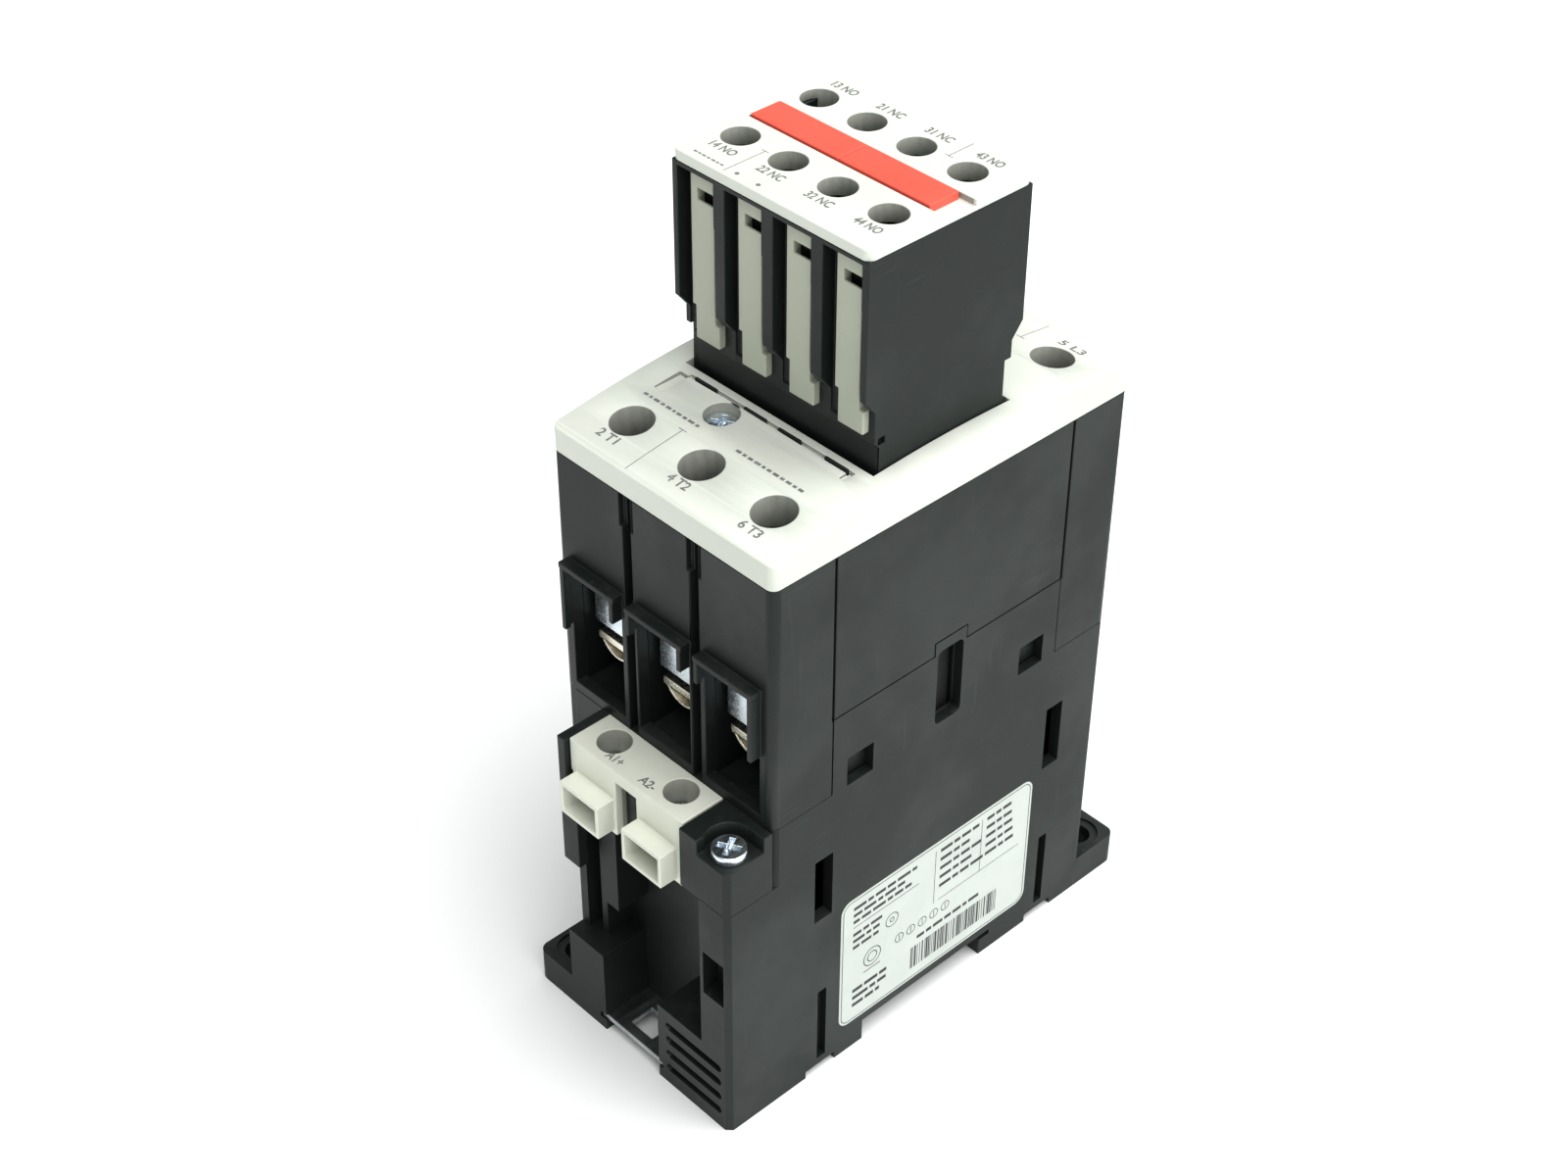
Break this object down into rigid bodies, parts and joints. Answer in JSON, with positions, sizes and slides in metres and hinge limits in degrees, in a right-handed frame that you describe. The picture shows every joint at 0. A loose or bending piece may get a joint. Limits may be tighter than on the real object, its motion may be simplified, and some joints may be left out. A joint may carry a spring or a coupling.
{
  "type": "rail mounted contactor",
  "caption": "Rail mounted power contactor in a black housing with white front plate, coil terminals and a clip-on auxiliary contact block.",
  "frame": {"origin": "middle of the mounting plane, midway between the two foot holes", "axes": "+Z away from the rail, -Y towards the load side with the coil terminals, +X towards the side with the label"},
  "size_m": [0.0551, 0.1097, 0.1715],
  "materials": {
    "housing_plastic": "moulded charcoal black, fine grain",
    "plate_plastic": "warm off-white, satin",
    "coil_block_plastic": "light grey, satin",
    "panel_plastic": "light grey, satin",
    "marker_plastic": "coral red, satin",
    "inner_plastic": "dark grey, matt",
    "label_film": "white printed film",
    "zinc_steel": "bright zinc plated",
    "sheet_steel": "galvanised sheet",
    "magnet_steel": "laminated core",
    "spring_steel": "spring wire",
    "copper": "copper alloy",
    "brass": "brass strip",
    "silver": "silver contact alloy",
    "winding_copper": "enamelled copper wire",
    "rubber": "soft pad"
  },
  "bodies": {
    "housing": {"base_housing": "housing_plastic", "upper_housing": "housing_plastic", "terminal_frames": "housing_plastic", "front_plate": "plate_plastic", "plate_screw": "zinc_steel", "housing_screw_front": "zinc_steel", "housing_screw_rear": "zinc_steel", "rating_label": "label_film", "magnet_cushion": "rubber", "magnet_yoke": "magnet_steel", "coil_bobbin": "inner_plastic", "coil_winding": "winding_copper", "return_springs": "spring_steel", "contact_t1": "copper", "contact_t2": "copper", "contact_t3": "copper", "contact_l1": "copper", "contact_l2": "copper", "contact_l3": "copper", "fixed_tips": "silver", "arc_plates": "magnet_steel", "coil_terminal_block": "coil_block_plastic", "coil_contact_bars": "brass", "aux_housing": "housing_plastic", "aux_cover": "plate_plastic", "aux_marker_left": "marker_plastic", "aux_marker_right": "marker_plastic", "aux_panels_front": "panel_plastic", "aux_panels_rear": "panel_plastic", "aux_fixed_contacts": "brass", "aux_terminal_screws": "zinc_steel", "aux_terminal_clamps": "zinc_steel"},
    "carrier": {"armature": "magnet_steel", "contact_carrier": "inner_plastic", "bridge_spring_1": "spring_steel", "bridge_spring_2": "spring_steel", "bridge_spring_3": "spring_steel"},
    "latch": {"rail_latch": "sheet_steel"},
    "aux_drive": {"aux_slider": "inner_plastic", "aux_bridges": "brass", "aux_springs": "spring_steel"},
    "bridge_1": {"bridge_1": "copper"},
    "bridge_2": {"bridge_2": "copper"},
    "bridge_3": {"bridge_3": "copper"},
    "screw_t1": {"screw_t1": "zinc_steel"},
    "clamp_t1": {"clamp_t1": "zinc_steel"},
    "screw_t2": {"screw_t2": "zinc_steel"},
    "clamp_t2": {"clamp_t2": "zinc_steel"},
    "screw_t3": {"screw_t3": "zinc_steel"},
    "clamp_t3": {"clamp_t3": "zinc_steel"},
    "screw_l1": {"screw_l1": "zinc_steel"},
    "clamp_l1": {"clamp_l1": "zinc_steel"},
    "screw_l2": {"screw_l2": "zinc_steel"},
    "clamp_l2": {"clamp_l2": "zinc_steel"},
    "screw_l3": {"screw_l3": "zinc_steel"},
    "clamp_l3": {"clamp_l3": "zinc_steel"},
    "coil_screw_a1": {"coil_screw_a1": "zinc_steel"},
    "coil_clamp_a1": {"coil_clamp_a1": "zinc_steel"},
    "coil_screw_a2": {"coil_screw_a2": "zinc_steel"},
    "coil_clamp_a2": {"coil_clamp_a2": "zinc_steel"}
  },
  "joints": [
    {"name": "contactor_travel", "type": "slide", "parent": "housing", "child": "carrier", "axis": [0, 0, 1], "range_m": [-0.006, 0], "stiffness_N_per_m": 500, "springref_m": 0.012, "deforming": ["return_springs"]},
    {"name": "bridge_lift_1", "type": "slide", "parent": "carrier", "child": "bridge_1", "axis": [0, 0, 1], "range_m": [0, 0.0015], "deforming": ["bridge_spring_1"]},
    {"name": "bridge_lift_2", "type": "slide", "parent": "carrier", "child": "bridge_2", "axis": [0, 0, 1], "range_m": [0, 0.0015], "deforming": ["bridge_spring_2"]},
    {"name": "bridge_lift_3", "type": "slide", "parent": "carrier", "child": "bridge_3", "axis": [0, 0, 1], "range_m": [0, 0.0015], "deforming": ["bridge_spring_3"]},
    {"name": "aux_travel", "type": "slide", "parent": "housing", "child": "aux_drive", "axis": [0, 0, 1], "range_m": [-0.006, 0]},
    {"name": "latch_pull", "type": "slide", "parent": "housing", "child": "latch", "axis": [0, -1, 0], "range_m": [0, 0.005], "stiffness_N_per_m": 400, "springref_m": -0.004},
    {"name": "turn_screw_t1", "type": "hinge", "parent": "housing", "child": "screw_t1", "pos_m": [-0.0175, -0.0332, 0.1], "axis": [0, 0, 1], "range_deg": [0, 1980]},
    {"name": "clamp_rise_t1", "type": "slide", "parent": "housing", "child": "clamp_t1", "axis": [0, 0, 1], "range_m": [0, 0.0055]},
    {"name": "turn_screw_t2", "type": "hinge", "parent": "housing", "child": "screw_t2", "pos_m": [0, -0.0332, 0.1], "axis": [0, 0, 1], "range_deg": [0, 1980]},
    {"name": "clamp_rise_t2", "type": "slide", "parent": "housing", "child": "clamp_t2", "axis": [0, 0, 1], "range_m": [0, 0.0055]},
    {"name": "turn_screw_t3", "type": "hinge", "parent": "housing", "child": "screw_t3", "pos_m": [0.0175, -0.0332, 0.1], "axis": [0, 0, 1], "range_deg": [0, 1980]},
    {"name": "clamp_rise_t3", "type": "slide", "parent": "housing", "child": "clamp_t3", "axis": [0, 0, 1], "range_m": [0, 0.0055]},
    {"name": "turn_screw_l1", "type": "hinge", "parent": "housing", "child": "screw_l1", "pos_m": [-0.0175, 0.0332, 0.1], "axis": [0, 0, 1], "range_deg": [0, 1980]},
    {"name": "clamp_rise_l1", "type": "slide", "parent": "housing", "child": "clamp_l1", "axis": [0, 0, 1], "range_m": [0, 0.0055]},
    {"name": "turn_screw_l2", "type": "hinge", "parent": "housing", "child": "screw_l2", "pos_m": [0, 0.0332, 0.1], "axis": [0, 0, 1], "range_deg": [0, 1980]},
    {"name": "clamp_rise_l2", "type": "slide", "parent": "housing", "child": "clamp_l2", "axis": [0, 0, 1], "range_m": [0, 0.0055]},
    {"name": "turn_screw_l3", "type": "hinge", "parent": "housing", "child": "screw_l3", "pos_m": [0.0175, 0.0332, 0.1], "axis": [0, 0, 1], "range_deg": [0, 1980]},
    {"name": "clamp_rise_l3", "type": "slide", "parent": "housing", "child": "clamp_l3", "axis": [0, 0, 1], "range_m": [0, 0.0055]},
    {"name": "turn_coil_screw_a1", "type": "hinge", "parent": "housing", "child": "coil_screw_a1", "pos_m": [-0.0089, -0.047, 0.064], "axis": [0, 0, 1], "range_deg": [0, 720]},
    {"name": "coil_clamp_rise_a1", "type": "slide", "parent": "housing", "child": "coil_clamp_a1", "axis": [0, 0, 1], "range_m": [0, 0.0016]},
    {"name": "turn_coil_screw_a2", "type": "hinge", "parent": "housing", "child": "coil_screw_a2", "pos_m": [0.0089, -0.047, 0.064], "axis": [0, 0, 1], "range_deg": [0, 720]},
    {"name": "coil_clamp_rise_a2", "type": "slide", "parent": "housing", "child": "coil_clamp_a2", "axis": [0, 0, 1], "range_m": [0, 0.0016]}
  ],
  "couplings": [
    {"joint": "bridge_lift_1", "follows": "contactor_travel", "ratio": -0.25},
    {"joint": "bridge_lift_2", "follows": "contactor_travel", "ratio": -0.25},
    {"joint": "bridge_lift_3", "follows": "contactor_travel", "ratio": -0.25},
    {"joint": "aux_travel", "follows": "contactor_travel", "ratio": 1}
  ]
}
